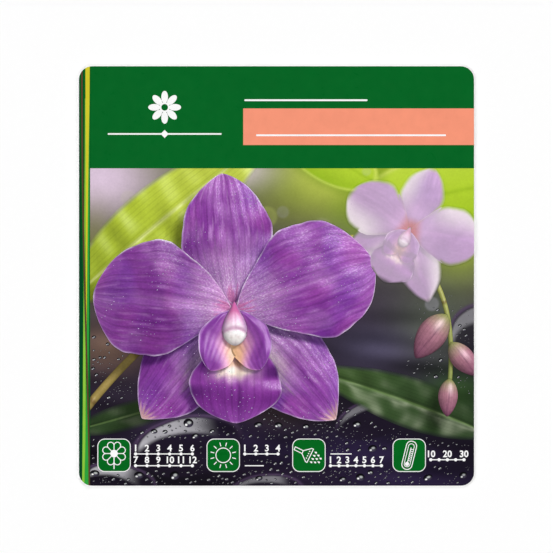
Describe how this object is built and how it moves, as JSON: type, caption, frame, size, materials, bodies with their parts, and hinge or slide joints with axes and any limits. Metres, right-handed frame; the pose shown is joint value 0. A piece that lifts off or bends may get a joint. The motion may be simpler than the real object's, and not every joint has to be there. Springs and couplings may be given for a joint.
{
  "type": "plant care label card",
  "caption": "Flat printed plant care label with rounded corners: header band, blank name fields, orchid picture and care signs.",
  "frame": {"origin": "centre of the card's plain back, which lies on the surface", "axes": "+Z out of the printed face, +Y towards the header, +X to the right of the face"},
  "size_m": [0.089, 0.0944, 0.0009],
  "materials": {
    "sheet": "white plastic sheet, satin",
    "header_green": "varnished ink",
    "border_green": "varnished ink",
    "yellow": "varnished ink",
    "lime": "varnished ink",
    "mid_green": "varnished ink",
    "brown": "varnished ink",
    "salmon": "varnished ink",
    "white_ink": "varnished ink",
    "tile_green": "varnished ink",
    "picture_ground": "varnished ink",
    "leaf": "varnished ink",
    "dark_leaf": "varnished ink",
    "stem": "varnished ink",
    "bud": "varnished ink",
    "sepal": "varnished ink",
    "petal": "varnished ink",
    "lip": "varnished ink",
    "column": "varnished ink"
  },
  "bodies": {
    "root": {"card_sheet": "sheet", "header_band": "header_green", "border_band": "header_green", "picture_ground": "picture_ground", "border_ribbon_dark": "border_green", "border_ribbon_yellow": "yellow", "border_ribbon_lime": "lime", "border_ribbon_green": "mid_green", "border_ribbon_brown": "brown", "title_bar": "salmon", "name_rule": "white_ink", "title_rule": "white_ink", "rosette": "white_ink", "divider": "white_ink", "flower_tile_rim": "white_ink", "flower_tile_face": "tile_green", "flower_sign": "white_ink", "light_tile_rim": "white_ink", "light_tile_face": "tile_green", "light_sign": "white_ink", "water_tile_rim": "white_ink", "water_tile_face": "tile_green", "water_sign": "white_ink", "warmth_tile_rim": "white_ink", "warmth_tile_face": "tile_green", "warmth_sign": "white_ink", "months_scale_upper": "white_ink", "months_scale_lower": "white_ink", "light_scale": "white_ink", "light_rule": "white_ink", "week_rule": "white_ink", "week_scale": "white_ink", "warmth_scale": "white_ink", "upper_leaf": "leaf", "lower_leaf": "dark_leaf", "side_leaf": "dark_leaf", "spray_stem": "stem", "bud_large": "bud", "bud_middle": "bud", "bud_tip": "bud", "near_bloom_dorsal_sepal": "sepal", "near_bloom_left_lateral_sepal": "sepal", "near_bloom_right_lateral_sepal": "sepal", "near_bloom_left_petal": "petal", "near_bloom_right_petal": "petal", "near_bloom_lip": "lip", "near_bloom_column": "column", "far_bloom_dorsal_sepal": "sepal", "far_bloom_left_lateral_sepal": "sepal", "far_bloom_right_lateral_sepal": "sepal", "far_bloom_left_petal": "petal", "far_bloom_right_petal": "petal", "far_bloom_lip": "lip", "far_bloom_column": "column"}
  },
  "joints": []
}
